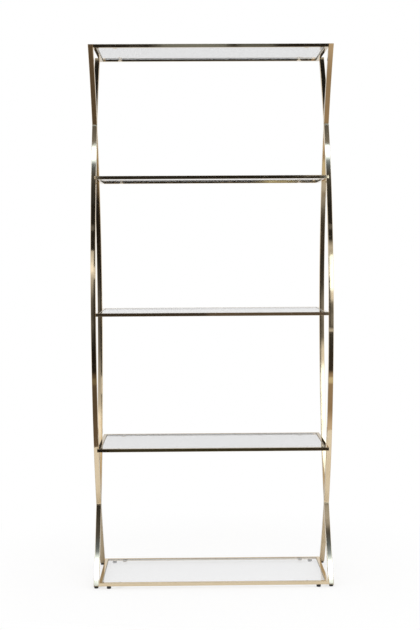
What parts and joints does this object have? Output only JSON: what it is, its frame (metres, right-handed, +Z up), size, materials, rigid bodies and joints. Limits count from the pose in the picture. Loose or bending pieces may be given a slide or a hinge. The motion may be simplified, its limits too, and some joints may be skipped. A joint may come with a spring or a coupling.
{
  "type": "etagere",
  "caption": "Tall open etagere: square brass tube bars bowed in crossing arcs at each side carry mitred shelf frames with loose glass panes.",
  "frame": {"origin": "on the floor under the middle of the etagere", "axes": "+Z up, -Y out of the front, +X to the right of someone who faces the front"},
  "size_m": [0.9144, 0.3848, 2.0475],
  "materials": {
    "brass": "bright polished plate, worn",
    "glass": "clear, ground edges",
    "glide": "black, satin",
    "bumper": "clear soft vinyl"
  },
  "bodies": {
    "frame": {"left_front_bar": "brass", "left_rear_bar_top": "brass", "left_rear_bar_middle": "brass", "left_rear_bar_bottom": "brass", "right_front_bar": "brass", "right_rear_bar_top": "brass", "right_rear_bar_middle": "brass", "right_rear_bar_bottom": "brass", "bar_top_caps": "brass", "bar_foot_caps": "brass", "shelf_1_front_rail": "brass", "shelf_1_rear_rail": "brass", "shelf_1_left_rail": "brass", "shelf_1_right_rail": "brass", "shelf_1_tabs": "brass", "shelf_1_bumpers": "bumper", "shelf_2_front_rail": "brass", "shelf_2_rear_rail": "brass", "shelf_2_left_rail": "brass", "shelf_2_right_rail": "brass", "shelf_2_tabs": "brass", "shelf_2_bumpers": "bumper", "shelf_3_front_rail": "brass", "shelf_3_rear_rail": "brass", "shelf_3_left_rail": "brass", "shelf_3_right_rail": "brass", "shelf_3_tabs": "brass", "shelf_3_bumpers": "bumper", "shelf_4_front_rail": "brass", "shelf_4_rear_rail": "brass", "shelf_4_left_rail": "brass", "shelf_4_right_rail": "brass", "shelf_4_tabs": "brass", "shelf_4_bumpers": "bumper", "shelf_5_front_rail": "brass", "shelf_5_rear_rail": "brass", "shelf_5_left_rail": "brass", "shelf_5_right_rail": "brass", "shelf_5_tabs": "brass", "shelf_5_bumpers": "bumper", "front_left_bar_glide": "glide", "front_right_bar_glide": "glide", "rear_left_bar_glide": "glide", "rear_right_bar_glide": "glide"},
    "shelf_1_pane": {"shelf_1_glass": "glass"},
    "shelf_2_pane": {"shelf_2_glass": "glass"},
    "shelf_3_pane": {"shelf_3_glass": "glass"},
    "shelf_4_pane": {"shelf_4_glass": "glass"},
    "shelf_5_pane": {"shelf_5_glass": "glass"},
    "front_left_foot": {"front_left_frame_glide": "glide"},
    "front_right_foot": {"front_right_frame_glide": "glide"},
    "rear_left_foot": {"rear_left_frame_glide": "glide"},
    "rear_right_foot": {"rear_right_frame_glide": "glide"}
  },
  "joints": [
    {"name": "shelf_1_pane_lift", "type": "slide", "parent": "frame", "child": "shelf_1_pane", "axis": [0, 0, 1], "range_m": [0, 0.04]},
    {"name": "shelf_2_pane_lift", "type": "slide", "parent": "frame", "child": "shelf_2_pane", "axis": [0, 0, 1], "range_m": [0, 0.04]},
    {"name": "shelf_3_pane_lift", "type": "slide", "parent": "frame", "child": "shelf_3_pane", "axis": [0, 0, 1], "range_m": [0, 0.04]},
    {"name": "shelf_4_pane_lift", "type": "slide", "parent": "frame", "child": "shelf_4_pane", "axis": [0, 0, 1], "range_m": [0, 0.04]},
    {"name": "shelf_5_pane_lift", "type": "slide", "parent": "frame", "child": "shelf_5_pane", "axis": [0, 0, 1], "range_m": [0, 0.04]},
    {"name": "front_left_foot_turn", "type": "hinge", "parent": "frame", "child": "front_left_foot", "pos_m": [-0.39915, -0.18415, 0.009], "axis": [0, 0, 1], "continuous": true},
    {"name": "front_right_foot_turn", "type": "hinge", "parent": "frame", "child": "front_right_foot", "pos_m": [0.39915, -0.18415, 0.009], "axis": [0, 0, 1], "continuous": true},
    {"name": "rear_left_foot_turn", "type": "hinge", "parent": "frame", "child": "rear_left_foot", "pos_m": [-0.39915, 0.18415, 0.009], "axis": [0, 0, 1], "continuous": true},
    {"name": "rear_right_foot_turn", "type": "hinge", "parent": "frame", "child": "rear_right_foot", "pos_m": [0.39915, 0.18415, 0.009], "axis": [0, 0, 1], "continuous": true}
  ]
}
